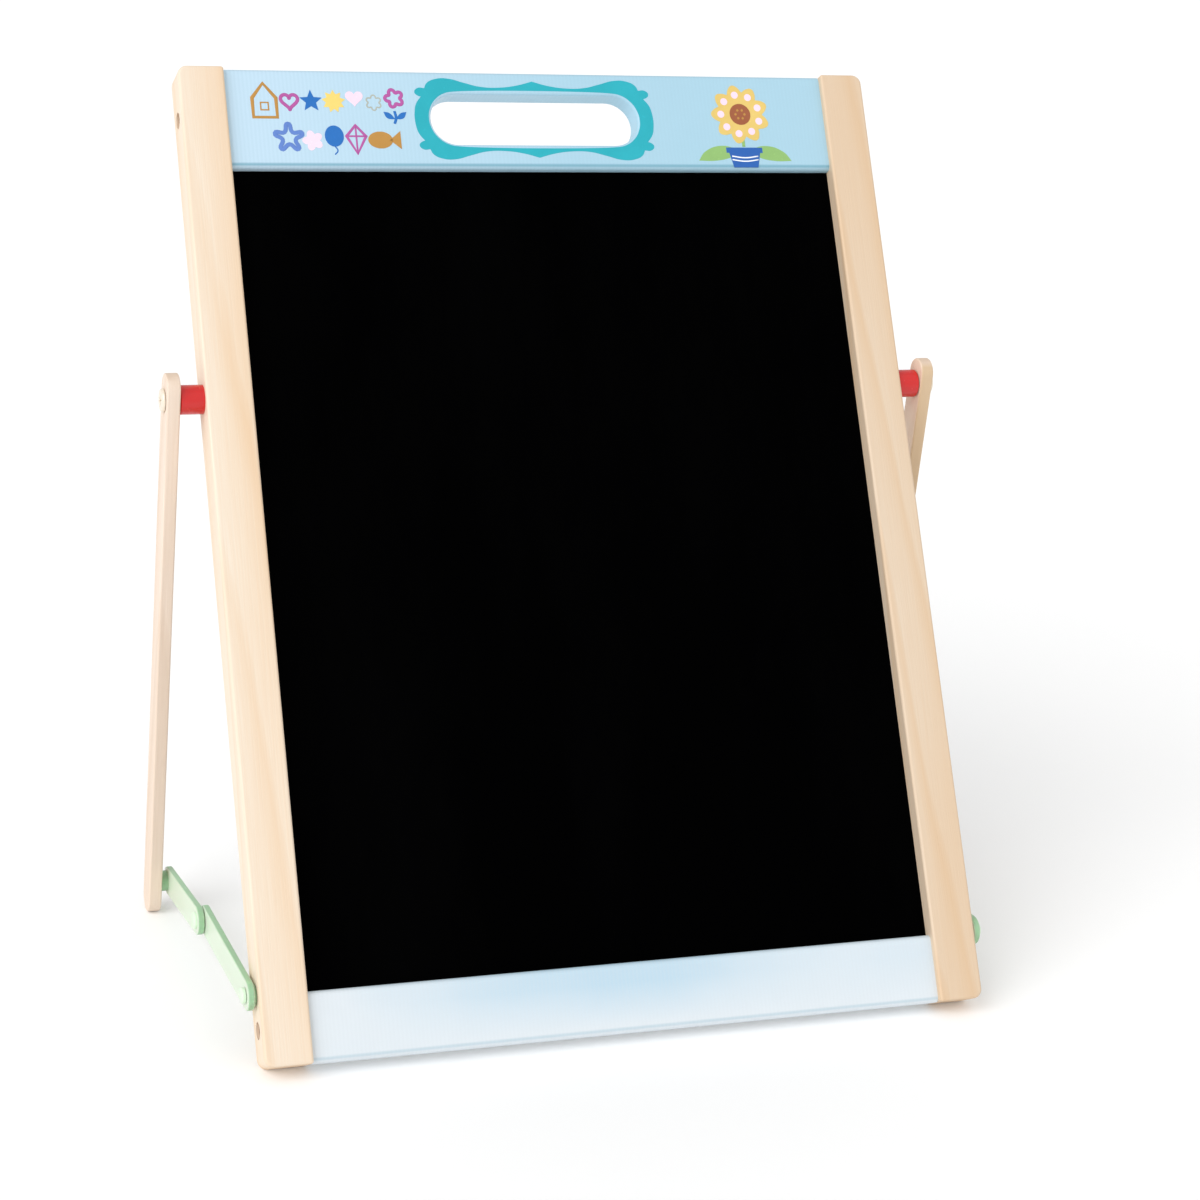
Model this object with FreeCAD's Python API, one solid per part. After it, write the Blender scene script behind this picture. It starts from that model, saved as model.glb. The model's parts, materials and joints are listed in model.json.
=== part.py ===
import FreeCAD, Part
import math
import os

# Tabletop easel for a child. Two pine stiles, two painted rails and a double board make a
# frame that leans back. A thin leg hangs outside each stile from a bolt and folds flat
# against it. A two-link plastic brace near the floor stops each leg when it is open.
# Sizes are millimetres and degrees. X runs across the easel, +Y to the back and +Z up.
# Board frame: x across, n back from the front of the stiles, s up along the stiles.

# Frame
frame_width = 380.0
stile_length = 508.0
stile_face = 24.0
stile_thickness = 20.0
stile_outer_corner = 5.0
stile_inner_corner = 1.5
stile_edge = 1.5
lean = 31.0
rail_thickness = 13.0
rail_edge = 3.0
top_rail_height = 54.0
bottom_rail_height = 35.0
slot_length = 115.0
slot_height = 28.0
slot_drop = 26.5
slot_edge = 1.5

# Boards
chalkboard_thickness = 1.8
dry_erase_thickness = 1.2
groove_depth = 5.0

# Screws that hold the rails
screw_drop = 26.5
screw_rise = 18.5
screw_shank = 2.0
screw_head = 4.1
screw_head_height = 3.0
screw_recess_radius = 4.25
screw_recess_depth = 4.5
screw_length = 46.0
drive_slot = 1.1
drive_depth = 1.6
drive_reach = 2.4
bolt_drive_depth = 0.9

# Leg pivot
pivot_height = 334.0
spacer_radius = 7.5
spacer_length = 12.2
bolt_radius = 3.0
bolt_head_radius = 6.0
bolt_head_height = 1.5
bolt_head_edge = 1.1
insert_radius = 4.5
insert_length = 14.0

# Legs
leg_tilt = 5.0
leg_thickness = 7.0
leg_width = 16.0
leg_above_pivot = 14.0
leg_edge = 1.0

# Braces
brace_stile_height = 36.0
brace_leg_height = 17.0
brace_rise = 4.0
link_width = 15.0
link_thickness = 3.5
link_edge = 0.8
link_boss_radius = 5.5
stile_boss_height = 1.0
brace_screw_radius = 2.0
brace_head_radius = 4.0
brace_head_height = 1.8
brace_screw_bite = 14.0
leg_screw_bite = 5.0
rivet_radius = 2.5
rivet_head_radius = 4.5
rivet_inner_head = 0.6
rivet_outer_head = 1.2

# Clearances, and how far a cut runs past the face it starts from
seat_gap = 0.3
lap_gap = 0.4
running_fit = 0.05
rivet_setback = 0.05
head_setback = 0.2
blind_gap = 1.0
overrun = 1.0

# Worked-out sizes
lean_sin = math.sin(math.radians(lean))
lean_cos = math.cos(math.radians(lean))
half_width = frame_width / 2.0
half_inside = half_width - stile_face
rail_front = (stile_thickness - rail_thickness) / 2.0
rail_back = rail_front + rail_thickness
board_thickness = chalkboard_thickness + dry_erase_thickness
board_front = (stile_thickness - board_thickness) / 2.0
board_low = bottom_rail_height - groove_depth
board_high = stile_length - top_rail_height + groove_depth
slot_height_up = stile_length - slot_drop
mid_depth = stile_thickness / 2.0

spacer_end = half_width + spacer_length
leg_inside = spacer_end + seat_gap
leg_outside = leg_inside + leg_thickness
under_bolt_head = leg_outside + seat_gap

link_in = half_width + seat_gap + stile_boss_height
link_out = link_in + link_thickness
rear_in = link_out + lap_gap
rear_out = rear_in + link_thickness
rear_boss_end = leg_inside - seat_gap

fold_angle = lean + leg_tilt


def from_board(n, s):
    """Y and Z, before the model is moved to its origin, of a point in the board frame."""
    return n * lean_cos + s * lean_sin, s * lean_cos - n * lean_sin


# The stiles rest on their rounded back bottom edge, and each leg on its round foot.
corner_lift = stile_edge * (lean_sin + lean_cos - 1.0)
floor_level = corner_lift - stile_thickness * lean_sin
middle_depth = (stile_length * lean_sin + stile_thickness * lean_cos) / 2.0
pivot_y, pivot_z = from_board(mid_depth, pivot_height)
leg_radius = leg_width / 2.0
leg_reach = (pivot_z - leg_radius - floor_level) / math.cos(math.radians(leg_tilt))

# Brace pivots: A on the stile, B on the leg and M where the links meet.
brace_a = from_board(mid_depth, brace_stile_height)
brace_drop = leg_reach + leg_radius - brace_leg_height
brace_b = (
    pivot_y + brace_drop * math.sin(math.radians(leg_tilt)),
    pivot_z - brace_drop * math.cos(math.radians(leg_tilt)),
)
folded_gap = (pivot_height - brace_stile_height) - brace_drop
open_gap = math.hypot(brace_b[0] - brace_a[0], brace_b[1] - brace_a[1])

# The front link is longer than the rear one by the gap that is left between A and B when
# the leg is folded, so both links then lie in one line along the stile.
hyperbola_a = folded_gap / 2.0
hyperbola_b = math.sqrt((open_gap / 2.0) ** 2 - hyperbola_a ** 2)
middle_along = open_gap / 2.0 + hyperbola_a * math.sqrt(1.0 + (brace_rise / hyperbola_b) ** 2)
front_link_length = math.hypot(middle_along, brace_rise)
rear_link_length = math.hypot(open_gap - middle_along, brace_rise)
brace_slope = math.degrees(math.atan2(brace_b[1] - brace_a[1], brace_b[0] - brace_a[0]))
front_angle = brace_slope + math.degrees(math.atan2(brace_rise, middle_along))
rear_angle = 180.0 + brace_slope - math.degrees(math.atan2(brace_rise, open_gap - middle_along))
stile_angle = 90.0 - lean


def block(x0, x1, y0, y1, z0, z1):
    return Part.makeBox(x1 - x0, y1 - y0, z1 - z0, FreeCAD.Vector(x0, y0, z0))


def rod(radius, x0, x1, y=0.0, z=0.0):
    """A round bar along X."""
    return Part.makeCylinder(radius, x1 - x0, FreeCAD.Vector(x0, y, z), FreeCAD.Vector(1, 0, 0))


def taper(radius0, radius1, x0, x1, y=0.0, z=0.0):
    """A cone along X, radius0 at x0 and radius1 at x1."""
    return Part.makeCone(radius0, radius1, x1 - x0, FreeCAD.Vector(x0, y, z), FreeCAD.Vector(1, 0, 0))


def slat(x0, x1, half, z0, z1):
    """A flat bar with round ends, whose end centres are at z0 and z1."""
    bar = block(x0, x1, -half, half, z0, z1)
    bar = bar.fuse(rod(half, x0, x1, 0.0, z0))
    bar = bar.fuse(rod(half, x0, x1, 0.0, z1))
    return bar.removeSplitter()


def runs_along(edge, direction):
    """True for a straight edge parallel to a direction."""
    if not isinstance(edge.Curve, Part.Line):
        return False
    return abs(edge.Curve.Direction.dot(direction)) > 0.999


def lies_on(edge, axis, value):
    """True where an edge lies in the plane axis = value, axis 0, 1 or 2."""
    box = edge.BoundBox
    low = (box.XMin, box.YMin, box.ZMin)[axis]
    high = (box.XMax, box.YMax, box.ZMax)[axis]
    return abs(low - value) < 1e-3 and abs(high - value) < 1e-3


def soften(solid, radius, wanted):
    """Round the edges that the test picks out."""
    edges = [edge for edge in solid.Edges if wanted(edge)]
    return solid.makeFillet(radius, edges)


def on_board(shape):
    """Turn a shape from the board frame into the leaning frame and onto the floor."""
    shape.rotate(FreeCAD.Vector(0, 0, 0), FreeCAD.Vector(1, 0, 0), -lean)
    shape.translate(FreeCAD.Vector(0, -middle_depth, -floor_level))
    return shape


def on_leg(shape):
    """Turn a shape from the leg's own frame, with the bolt at its origin, into place."""
    shape.rotate(FreeCAD.Vector(0, 0, 0), FreeCAD.Vector(1, 0, 0), leg_tilt)
    shape.translate(FreeCAD.Vector(0, pivot_y - middle_depth, pivot_z - floor_level))
    return shape


def on_link(shape, start, angle):
    """Lay a link, drawn upright from its pivot, at an angle above +Y from a pivot point."""
    shape.rotate(FreeCAD.Vector(0, 0, 0), FreeCAD.Vector(1, 0, 0), angle - 90.0)
    shape.translate(FreeCAD.Vector(0, start[0] - middle_depth, start[1] - floor_level))
    return shape


def panel_space(x0, x1):
    """The groove for the two boards, between two places across the easel."""
    return block(x0, x1, board_front, board_front + board_thickness, board_low, board_high)


def screw_hole(z):
    """Pilot hole and sunk recess for one rail screw in the left stile."""
    hole = rod(screw_shank, -half_width, screw_length - half_width, mid_depth, z)
    recess = rod(screw_recess_radius, -half_width - overrun, screw_recess_depth - half_width, mid_depth, z)
    return hole.fuse(recess)


def stile():
    """Left stile, with rounded outer corners, a groove and its holes."""
    body = block(-half_width, -half_inside, 0.0, stile_thickness, 0.0, stile_length)
    across = FreeCAD.Vector(0, 1, 0)
    body = soften(body, stile_outer_corner, lambda e: runs_along(e, across) and lies_on(e, 0, -half_width))
    body = soften(body, stile_inner_corner, lambda e: runs_along(e, across) and lies_on(e, 0, -half_inside))
    body = soften(body, stile_edge, lambda e: lies_on(e, 1, 0.0) or lies_on(e, 1, stile_thickness))
    body = body.cut(panel_space(-half_inside - groove_depth, -half_inside + overrun))
    body = body.cut(screw_hole(stile_length - screw_drop))
    body = body.cut(screw_hole(screw_rise))
    insert_end = insert_length + blind_gap - half_width
    body = body.cut(rod(insert_radius, -half_width - overrun, insert_end, mid_depth, pivot_height))
    bite_end = brace_screw_bite - half_width
    return body.cut(rod(brace_screw_radius, -half_width - overrun, bite_end, mid_depth, brace_stile_height))


def rail(low, high, screw_level):
    """A painted rail between the stiles, grooved for the boards."""
    body = block(-half_inside, half_inside, rail_front, rail_back, low, high)
    body = soften(body, rail_edge, lambda e: runs_along(e, FreeCAD.Vector(1, 0, 0)))
    body = body.cut(panel_space(-half_inside - overrun, half_inside + overrun))
    pilot = rod(screw_shank, -half_width, screw_length - half_width, mid_depth, screw_level)
    body = body.cut(pilot)
    return body.cut(mirrored(pilot))


def stadium(length, height, y0, y1, z):
    """A slot shape through the thickness, with half-round ends."""
    radius = height / 2.0
    straight = length / 2.0 - radius
    shape = block(-straight, straight, y0, y1, z - radius, z + radius)
    for x in (-straight, straight):
        end = Part.makeCylinder(radius, y1 - y0, FreeCAD.Vector(x, y0, z), FreeCAD.Vector(0, 1, 0))
        shape = shape.fuse(end)
    return shape.removeSplitter()


def top_rail():
    """The upper rail with the handle slot."""
    low = stile_length - top_rail_height
    body = rail(low, stile_length, stile_length - screw_drop)
    body = body.cut(stadium(slot_length, slot_height, 0.0, stile_thickness, slot_height_up))
    inside = slot_length / 2.0 + overrun

    def slot_rim(edge):
        box = edge.BoundBox
        rim = lies_on(edge, 1, rail_front) or lies_on(edge, 1, rail_back)
        return rim and box.XMin > -inside and box.XMax < inside

    return soften(body, slot_edge, slot_rim)


def bottom_rail():
    return rail(0.0, bottom_rail_height, screw_rise)


def board(front, thickness):
    """One sheet of the double board, from groove bottom to groove bottom."""
    half = half_inside + groove_depth
    return block(-half, half, front, front + thickness, board_low, board_high)


def frame_screw(z):
    """A countersunk screw with a cross drive, through the left stile into a rail."""
    head_end = screw_recess_depth - half_width
    head_start = head_end - screw_head_height
    tip = screw_length - half_width
    body = rod(screw_shank, head_end, tip, mid_depth, z)
    body = body.fuse(rod(screw_head, head_start, head_end, mid_depth, z))
    return cross_drive(body, head_start, drive_depth, z)


def cross_drive(body, face, depth, z):
    """Sinks a cross into a screw head whose outer face is at a place along X."""
    half = drive_slot / 2.0
    for wide, tall in ((half, drive_reach), (drive_reach, half)):
        cross = block(face - overrun, face + depth, mid_depth - wide, mid_depth + wide, z - tall, z + tall)
        body = body.cut(cross)
    return body


def threaded_insert():
    """The sleeve in the left stile that the leg bolt screws into."""
    body = rod(insert_radius, -half_width, insert_length - half_width, mid_depth, pivot_height)
    return body.cut(rod(bolt_radius, -half_width, insert_length - half_width, mid_depth, pivot_height))


def spacer():
    """The round plastic spacer between the left stile and its leg."""
    body = rod(spacer_radius, -spacer_end, -half_width, mid_depth, pivot_height)
    body = soften(body, link_edge, lambda e: lies_on(e, 0, -spacer_end))
    return body.cut(rod(bolt_radius, -spacer_end, -half_width, mid_depth, pivot_height))


def pivot_bolt():
    """The bolt that the left leg turns on, with a low round head."""
    tip = insert_length - half_width
    body = rod(bolt_radius, -under_bolt_head, tip, mid_depth, pivot_height)
    outer = -under_bolt_head - bolt_head_height
    head = rod(bolt_head_radius, outer, -under_bolt_head, mid_depth, pivot_height)
    head = soften(head, bolt_head_edge, lambda e: lies_on(e, 0, outer))
    return cross_drive(body.fuse(head), outer, bolt_drive_depth, pivot_height)


def leg():
    """The left leg, drawn upright with the bolt at its origin."""
    body = slat(-leg_outside, -leg_inside, leg_radius, -leg_reach, leg_above_pivot - leg_radius)
    body = soften(body, leg_edge, lambda e: lies_on(e, 0, -leg_outside) or lies_on(e, 0, -leg_inside))
    body = body.cut(rod(bolt_radius + running_fit, -leg_outside, -leg_inside))
    return body.cut(rod(brace_screw_radius, -leg_inside - leg_screw_bite, -leg_inside, 0.0, -brace_drop))


def front_link():
    """The left brace's front link, drawn upright from its stile pivot."""
    body = slat(-link_out, -link_in, link_width / 2.0, 0.0, front_link_length)
    body = soften(body, link_edge, lambda e: lies_on(e, 0, -link_out) or lies_on(e, 0, -link_in))
    body = body.fuse(rod(link_boss_radius, -link_in, -link_in + stile_boss_height))
    body = body.cut(rod(brace_screw_radius + running_fit, -link_out, -half_width))
    return body.cut(rod(rivet_radius, -link_out, -link_in, 0.0, front_link_length))


def stile_brace_screw():
    """The screw that the front link turns on, in the left stile."""
    under_head = -link_out - seat_gap
    body = rod(brace_screw_radius, under_head, brace_screw_bite - half_width, mid_depth, brace_stile_height)
    outer = under_head - brace_head_height
    head = rod(brace_head_radius, outer, under_head, mid_depth, brace_stile_height)
    head = soften(head, link_edge, lambda e: lies_on(e, 0, outer))
    return body.fuse(head)


def rear_link():
    """The left brace's rear link, drawn upright from its leg pivot."""
    body = slat(-rear_out, -rear_in, link_width / 2.0, 0.0, rear_link_length)
    body = soften(body, link_edge, lambda e: lies_on(e, 0, -rear_out) or lies_on(e, 0, -rear_in))
    body = body.fuse(rod(link_boss_radius, -rear_boss_end, -rear_out))
    body = body.cut(rod(brace_screw_radius + running_fit, -rear_boss_end, -rear_in))
    sink = taper(brace_screw_radius + running_fit, sink_radius(), -rear_in - brace_head_height, -rear_in)
    body = body.cut(sink)
    return body.cut(rod(rivet_radius, -rear_out, -rear_in, 0.0, rear_link_length))


def sink_radius():
    """Radius at the mouth of the rear link's countersink."""
    return brace_screw_radius + running_fit + brace_head_height


def leg_brace_screw():
    """The countersunk screw that the rear link turns on, in the left leg."""
    mouth = -rear_in - head_setback
    neck = mouth - brace_head_height + head_setback
    head = taper(brace_screw_radius, sink_radius() - head_setback - running_fit * 2.0, neck, mouth)
    body = rod(brace_screw_radius, -leg_inside - leg_screw_bite, neck)
    body = body.fuse(head)
    body.translate(FreeCAD.Vector(0, 0, -brace_drop))
    return body


def rivet_inner():
    """The half of the middle rivet that stays on the front link."""
    body = rod(rivet_radius, -link_out - rivet_setback, -link_in)
    body = body.fuse(rod(rivet_head_radius, -link_in, -link_in + rivet_inner_head))
    body.translate(FreeCAD.Vector(0, 0, front_link_length))
    return body


def rivet_outer():
    """The half of the middle rivet that stays on the rear link."""
    outer = -rear_out - rivet_outer_head
    body = rod(rivet_radius, -rear_out, -rear_in + rivet_setback)
    head = rod(rivet_head_radius, outer, -rear_out)
    body = body.fuse(soften(head, link_edge, lambda e: lies_on(e, 0, outer)))
    body.translate(FreeCAD.Vector(0, 0, rear_link_length))
    return body


def mirrored(shape):
    return shape.mirror(FreeCAD.Vector(0, 0, 0), FreeCAD.Vector(1, 0, 0))


def screw_pair(z):
    """The left and right screws of one rail, two separate solids."""
    left = on_board(frame_screw(z))
    return Part.makeCompound([left, mirrored(left)])


def left_side():
    """Every piece of the left side, which the right side mirrors."""
    return {
        "stile": on_board(stile()),
        "pivot_insert": on_board(threaded_insert()),
        "pivot_spacer": on_board(spacer()),
        "pivot_bolt": on_board(pivot_bolt()),
        "leg": on_leg(leg()),
        "brace_front_link": on_link(front_link(), brace_a, front_angle),
        "brace_rear_link": on_link(rear_link(), brace_b, rear_angle),
        "brace_stile_screw": on_board(stile_brace_screw()),
        "brace_leg_screw": on_leg(leg_brace_screw()),
        "brace_rivet_inner": on_link(rivet_inner(), brace_a, front_angle),
        "brace_rivet_outer": on_link(rivet_outer(), brace_b, rear_angle),
    }


def build():
    """Every node of the easel by name."""
    nodes = {
        "top_rail": on_board(top_rail()),
        "bottom_rail": on_board(bottom_rail()),
        "chalkboard_panel": on_board(board(board_front, chalkboard_thickness)),
        "dry_erase_panel": on_board(board(board_front + chalkboard_thickness, dry_erase_thickness)),
        "top_rail_screws": screw_pair(stile_length - screw_drop),
        "bottom_rail_screws": screw_pair(screw_rise),
    }
    for name, shape in left_side().items():
        nodes["left_" + name] = shape
        nodes["right_" + name] = mirrored(shape)
    return nodes


os.makedirs("parts", exist_ok=True)
for node_name, node_shape in build().items():
    node_shape.exportStep("parts/" + node_name + ".step")
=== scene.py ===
"""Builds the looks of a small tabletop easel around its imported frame, as a Blender add-on."""
import json
import math

import bmesh
import bpy
from bpy.props import FloatProperty, FloatVectorProperty, IntProperty, PointerProperty
from mathutils import Euler, Matrix, Vector


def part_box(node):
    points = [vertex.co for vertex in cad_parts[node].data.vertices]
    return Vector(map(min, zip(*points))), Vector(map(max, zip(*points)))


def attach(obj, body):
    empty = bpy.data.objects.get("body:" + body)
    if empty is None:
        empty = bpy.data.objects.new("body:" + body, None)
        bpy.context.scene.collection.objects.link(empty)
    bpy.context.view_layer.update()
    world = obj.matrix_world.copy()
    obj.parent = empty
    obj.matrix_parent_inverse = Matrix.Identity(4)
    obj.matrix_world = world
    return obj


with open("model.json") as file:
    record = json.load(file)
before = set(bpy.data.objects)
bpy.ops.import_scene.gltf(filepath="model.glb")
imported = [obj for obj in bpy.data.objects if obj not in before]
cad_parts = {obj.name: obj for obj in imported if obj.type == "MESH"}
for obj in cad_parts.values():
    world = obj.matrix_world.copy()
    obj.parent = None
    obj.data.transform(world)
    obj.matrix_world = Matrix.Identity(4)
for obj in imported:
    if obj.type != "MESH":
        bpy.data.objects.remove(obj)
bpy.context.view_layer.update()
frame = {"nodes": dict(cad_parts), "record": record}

bl_info = {
    "name": "Tabletop Easel",
    "version": (1, 0, 0),
    "blender": (4, 5, 0),
    "location": "View3D > Sidebar > Easel",
    "description": "Printed rail, pine, boards and folding hardware of a tabletop easel",
    "category": "Object",
}

nodes = frame["nodes"]
record = frame["record"]
mm = 0.001

# Directions of the leaning frame: out of the stiles' front faces and up along them.
face_mount = next(m for m in record["mounts"] if m["name"] == "left_stile_front")
out_way = Vector(face_mount["axis"]).normalized()
up_way = Vector((0.0, out_way.z, -out_way.y)).normalized()
lean = math.atan2(up_way.y, up_way.z)


def reach(node, way):
    """Least and greatest distance of a CAD node along a direction, in metres."""
    along = [vertex.co.dot(way) for vertex in nodes[node].data.vertices]
    return min(along), max(along)


def linear(red, green, blue):
    """A display colour as Blender's linear colour, with full alpha."""
    def one(value):
        return value / 12.92 if value <= 0.04045 else ((value + 0.055) / 1.055) ** 2.4
    return (one(red), one(green), one(blue), 1.0)


rail_low, rail_high = reach("top_rail", up_way)
rail_face = reach("top_rail", out_way)[1]
rail_height = rail_high - rail_low
leg_low, leg_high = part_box("left_leg")
leg_width = 16.0 * mm
slot_drop = 26.5 * mm
leg_lean = -math.atan2(leg_high[1] - leg_low[1] - leg_width, leg_high[2] - leg_low[2] - leg_width)


def colour(name, description, default):
    return FloatVectorProperty(
        name=name, description=description, default=default, size=4, subtype="COLOR", min=0.0, max=1.0
    )


def length(name, description, default):
    return FloatProperty(
        name=name, description=description, default=default, subtype="DISTANCE", unit="LENGTH"
    )


class EaselWood(bpy.types.PropertyGroup):
    light: colour("Light wood", "Early wood of the pine", linear(0.925, 0.867, 0.792))
    dark: colour("Dark wood", "Late wood and grain lines of the pine", linear(0.885, 0.752, 0.602))
    knot: colour("Knot", "Knots and resin streaks", linear(0.70, 0.50, 0.34))
    leg_light: colour("Light leg", "Early wood of the legs", linear(0.935, 0.866, 0.805))
    leg_dark: colour("Dark leg", "Late wood of the legs", linear(0.845, 0.740, 0.640))
    # Painted shade, partly real: a tan tone on the right leg's narrow front faces, part edge grain and part
    # the shade on them.
    right_leg_edge_shade: colour("Leg edge", "Narrow faces of the right leg", linear(0.80, 0.685, 0.53))
    ring_scale: FloatProperty(name="Ring scale", description="Grain lines, higher is finer", default=34.0)
    # Painted shade: the right stile's pine is darkened by this share, for the weaker light on the right.
    right_stile_shade: FloatProperty(name="Right stile shade", description="How much darker the right stile is", default=0.11)


class EaselPaint(bpy.types.PropertyGroup):
    top: colour("Top rail", "Printed film on the top rail", linear(0.637, 0.792, 0.862))
    # Painted light: the top rail's film is painted paler towards its left end, where the light falls.
    top_left_light: colour("Top rail, left", "Paler film at the top rail's left end", linear(0.745, 0.850, 0.920))
    low: colour("Bottom rail", "Printed film on the bottom rail", linear(0.845, 0.876, 0.898))
    low_blue: colour("Bottom rail blue", "Bluer patches on the bottom rail", linear(0.70, 0.812, 0.878))
    edge: colour("Rail edge", "Darker line along the rails' edges", linear(0.42, 0.64, 0.72))
    board: colour("Chalkboard", "Chalk coating", linear(0.006, 0.006, 0.007))
    dry: colour("Dry-erase", "Sheet on the back", linear(0.95, 0.955, 0.96))


class EaselHardware(bpy.types.PropertyGroup):
    spacer: colour("Spacer", "Moulded red plastic", linear(0.79, 0.055, 0.045))
    brace: colour("Brace", "Pale green plastic", linear(0.885, 0.945, 0.855))
    # Painted shade: the links' narrow faces and ends are painted deeper green, as if shaded.
    brace_edge_shade: colour("Brace edge", "Deeper green at the braces' edges", linear(0.58, 0.80, 0.60))
    bolt: colour("Bolt head", "Pale warm plating on the leg bolts", linear(0.93, 0.88, 0.81))
    screw: colour("Screw", "Brown coated screw", linear(0.50, 0.28, 0.13))
    zinc: colour("Zinc", "Plated steel", linear(0.80, 0.80, 0.78))
    brass: colour("Brass", "Threaded insert", linear(0.80, 0.66, 0.36))


class EaselPrint(bpy.types.PropertyGroup):
    ink: length("Ink thickness", "Height of the print above the rail", 0.12 * mm)
    frame_colour: colour("Scroll frame", "Scalloped frame round the handle slot", linear(0.07, 0.655, 0.712))
    slot_centre: length(
        "Slot centre", "Height of the handle slot above the rail's lower edge", rail_height - slot_drop
    )
    slot_length: length("Slot length", "Opening left in the scroll frame, end to end", 117.4 * mm)
    slot_height: length("Slot height", "Opening left in the scroll frame, across", 30.4 * mm)
    petals: IntProperty(name="Petals", description="Petals of the printed flower", default=9, min=5)
    flower_at: length("Flower place", "Middle of the printed flower across the rail", 117.0 * mm)


palette = {
    "gold_brown": linear(0.72, 0.525, 0.235),
    "magenta": linear(0.69, 0.32, 0.61),
    "blue": linear(0.06, 0.41, 0.72),
    "yellow": linear(0.94, 0.82, 0.44),
    "pink": linear(0.975, 0.845, 0.91),
    "periwinkle": linear(0.36, 0.50, 0.78),
    "stone": linear(0.68, 0.70, 0.66),
    "gold": linear(0.875, 0.755, 0.42),
    "brown": linear(0.60, 0.33, 0.19),
    "navy": linear(0.10, 0.36, 0.68),
    "white": linear(0.97, 0.975, 0.98),
    "leaf": linear(0.55, 0.72, 0.42),
}


# ---------------------------------------------------------------- node building

def put(tree, kind, **sockets):
    """Adds a node and sets sockets by name: a value, or another node's output to link."""
    node = tree.nodes.new(kind)
    for name, value in sockets.items():
        socket = node.inputs[int(name[1:])] if name[1:].isdigit() else node.inputs[name.replace("_", " ")]
        if isinstance(value, bpy.types.NodeSocket):
            tree.links.new(value, socket)
        else:
            socket.default_value = value
    return node


def maths(tree, operation, first, second=0.5):
    node = put(tree, "ShaderNodeMath", i0=first, i1=second)
    node.operation = operation
    return node.outputs[0]


def ramp(tree, factor, stops):
    """A colour ramp from (place, colour) stops; a plain number is a grey."""
    node = put(tree, "ShaderNodeValToRGB", i0=factor)
    elements = node.color_ramp.elements
    while len(elements) < len(stops):
        elements.new(0.5)
    for element, (place, value) in zip(elements, stops):
        element.position = place
        element.color = value if isinstance(value, tuple) else (value, value, value, 1.0)
    return node.outputs[0]


def mix(tree, factor, first, second, blend="MIX"):
    node = tree.nodes.new("ShaderNodeMix")
    node.data_type = "RGBA"
    node.blend_type = blend
    for socket, value in ((node.inputs[0], factor), (node.inputs[6], first), (node.inputs[7], second)):
        if isinstance(value, bpy.types.NodeSocket):
            tree.links.new(value, socket)
        else:
            socket.default_value = value
    return node.outputs[2]


def new_group(name, inputs, outputs):
    """An empty node group with named sockets, each given as (name, kind, default)."""
    tree = bpy.data.node_groups.new(name, "ShaderNodeTree")
    for label, kind, default in inputs:
        socket = tree.interface.new_socket(name=label, in_out="INPUT", socket_type=kind)
        if default is not None:
            socket.default_value = default
    for label, kind in outputs:
        tree.interface.new_socket(name=label, in_out="OUTPUT", socket_type=kind)
    return tree, tree.nodes.new("NodeGroupInput"), tree.nodes.new("NodeGroupOutput")


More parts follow.
